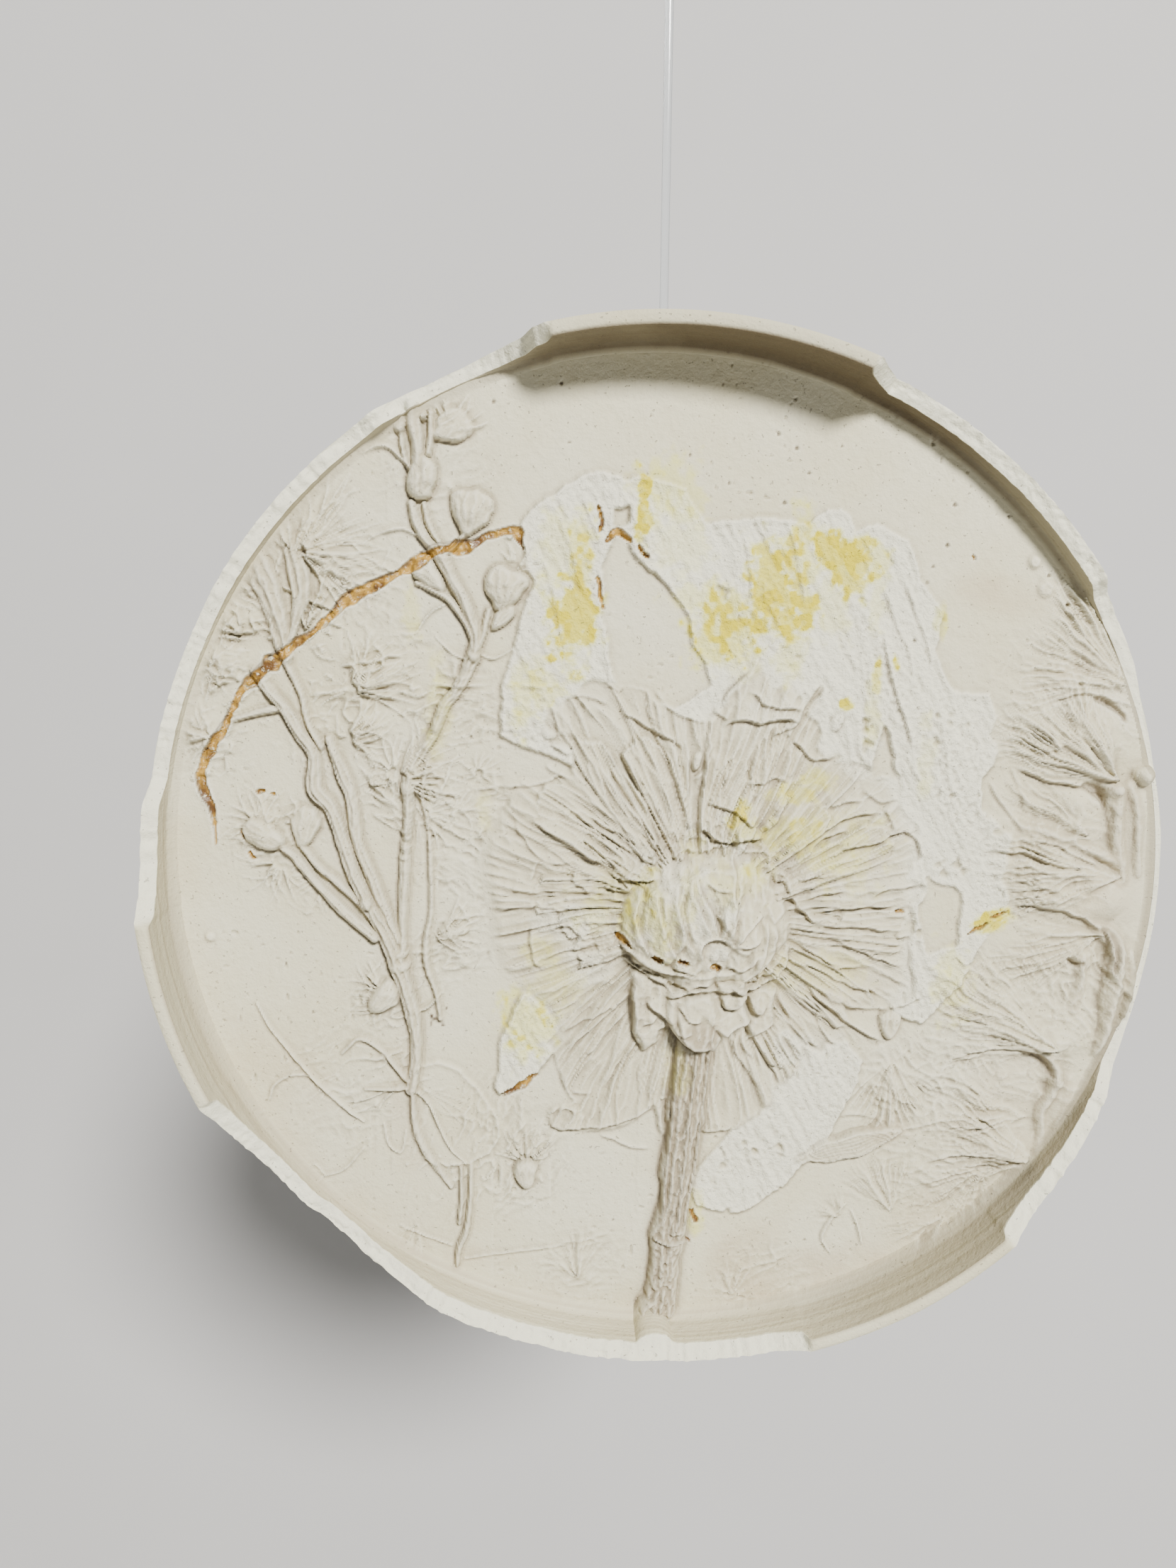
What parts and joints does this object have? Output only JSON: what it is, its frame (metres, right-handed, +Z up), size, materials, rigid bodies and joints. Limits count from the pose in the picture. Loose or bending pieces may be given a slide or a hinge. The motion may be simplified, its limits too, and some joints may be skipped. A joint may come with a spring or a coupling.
{
  "type": "plaster wall relief",
  "caption": "Round plaster relief with cast flowers, stems and leaves inside a broken raised rim, hung on a straight clear rod.",
  "frame": {"origin": "centre of the flat top end of the hanging rod, where the relief is held", "axes": "+Z up along the rod, +X to the right as the relief is looked at, and its face looks towards -Y"},
  "size_m": [0.3966, 0.0367, 0.5303],
  "materials": {
    "plaster": "matt cast plaster, stained",
    "clear_acrylic": "clear, polished"
  },
  "bodies": {
    "root": {"plaster_relief": "plaster", "hanging_rod": "clear_acrylic"}
  },
  "joints": []
}
